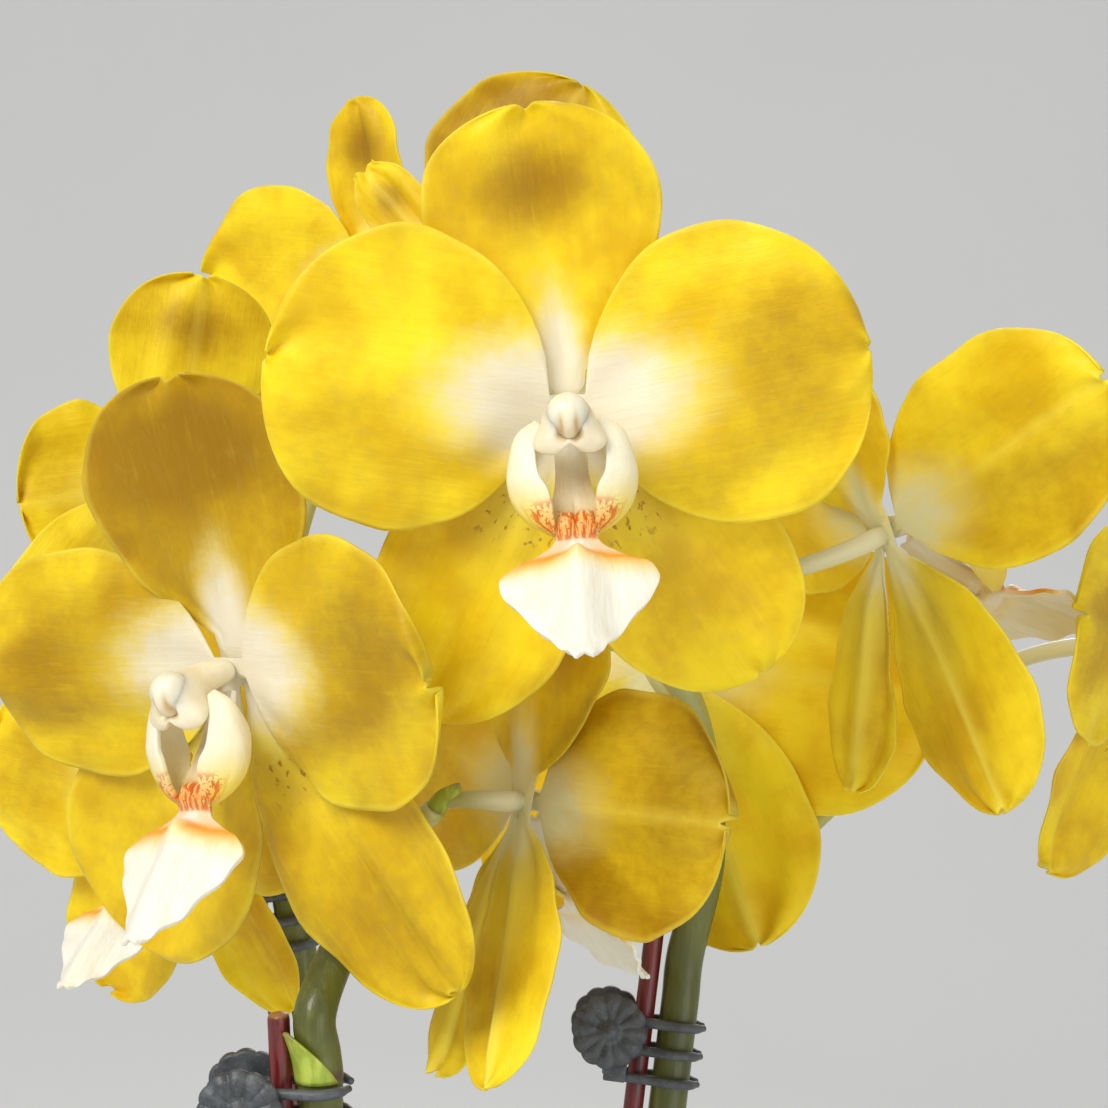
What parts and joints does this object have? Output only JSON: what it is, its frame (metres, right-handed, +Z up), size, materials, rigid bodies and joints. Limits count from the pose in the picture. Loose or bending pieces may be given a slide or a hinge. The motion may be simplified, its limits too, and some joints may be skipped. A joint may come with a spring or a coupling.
{
  "type": "potted moth orchid",
  "caption": "Moth orchid with yellow flowers on staked, clipped spikes, strap leaves and bark in a plain round pot.",
  "frame": {"origin": "centre of the pot's flat underside", "axes": "+Z up; -Y is the side the main flower faces; +X is to the right seen from that side"},
  "size_m": [0.3638, 0.1976, 0.5477],
  "materials": {
    "pot": "gloss",
    "bark": "matte",
    "leaf": "satin",
    "stem": "satin",
    "stake": "satin",
    "clip": "satin",
    "spring": "satin",
    "sepals": "satin",
    "petals": "satin",
    "lip": "satin",
    "column": "satin"
  },
  "bodies": {
    "plant_in_pot": {"clip_back_front_jaw": "clip", "clip_back_spring": "spring", "clip_left_front_jaw": "clip", "clip_left_spring": "spring", "clip_right_front_jaw": "clip", "clip_right_spring": "spring", "flower_01_column": "column", "flower_01_lip": "lip", "flower_01_petals": "petals", "flower_01_sepals": "sepals", "flower_02_column": "column", "flower_02_lip": "lip", "flower_02_petals": "petals", "flower_02_sepals": "sepals", "flower_03_column": "column", "flower_03_lip": "lip", "flower_03_petals": "petals", "flower_03_sepals": "sepals", "flower_04_column": "column", "flower_04_lip": "lip", "flower_04_petals": "petals", "flower_04_sepals": "sepals", "flower_05_column": "column", "flower_05_lip": "lip", "flower_05_petals": "petals", "flower_05_sepals": "sepals", "flower_06_column": "column", "flower_06_lip": "lip", "flower_06_petals": "petals", "flower_06_sepals": "sepals", "flower_07_column": "column", "flower_07_lip": "lip", "flower_07_petals": "petals", "flower_07_sepals": "sepals", "flower_08_column": "column", "flower_08_lip": "lip", "flower_08_petals": "petals", "flower_08_sepals": "sepals", "flower_09_column": "column", "flower_09_lip": "lip", "flower_09_petals": "petals", "flower_09_sepals": "sepals", "flower_10_column": "column", "flower_10_lip": "lip", "flower_10_petals": "petals", "flower_10_sepals": "sepals", "leaf_1": "leaf", "leaf_2": "leaf", "leaf_3": "leaf", "pot": "pot", "potting_bark": "bark", "spike_back": "stem", "spike_left": "stem", "spike_right": "stem", "stake_back": "stake", "stake_left": "stake", "stake_right": "stake"},
    "left_clip_rear_jaw": {"clip_left_rear_jaw": "clip"},
    "right_clip_rear_jaw": {"clip_right_rear_jaw": "clip"},
    "back_clip_rear_jaw": {"clip_back_rear_jaw": "clip"}
  },
  "joints": [
    {"name": "left_clip_squeeze", "type": "hinge", "parent": "plant_in_pot", "child": "left_clip_rear_jaw", "pos_m": [-0.0464, -0.05499, 0.36588], "axis": [-0.0342, -0.0971, 0.9947], "range_deg": [0, 25], "stiffness_Nm_per_rad": 0.01, "springref_deg": -20.05},
    {"name": "right_clip_squeeze", "type": "hinge", "parent": "plant_in_pot", "child": "right_clip_rear_jaw", "pos_m": [0.01223, 0.00003, 0.36644], "axis": [0.123, 0.0619, 0.9905], "range_deg": [0, 25], "stiffness_Nm_per_rad": 0.01, "springref_deg": -20.05},
    {"name": "back_clip_squeeze", "type": "hinge", "parent": "plant_in_pot", "child": "back_clip_rear_jaw", "pos_m": [-0.06015, 0.03001, 0.3834], "axis": [-0.1676, -0.0144, 0.9857], "range_deg": [0, 25], "stiffness_Nm_per_rad": 0.01, "springref_deg": -20.05}
  ]
}
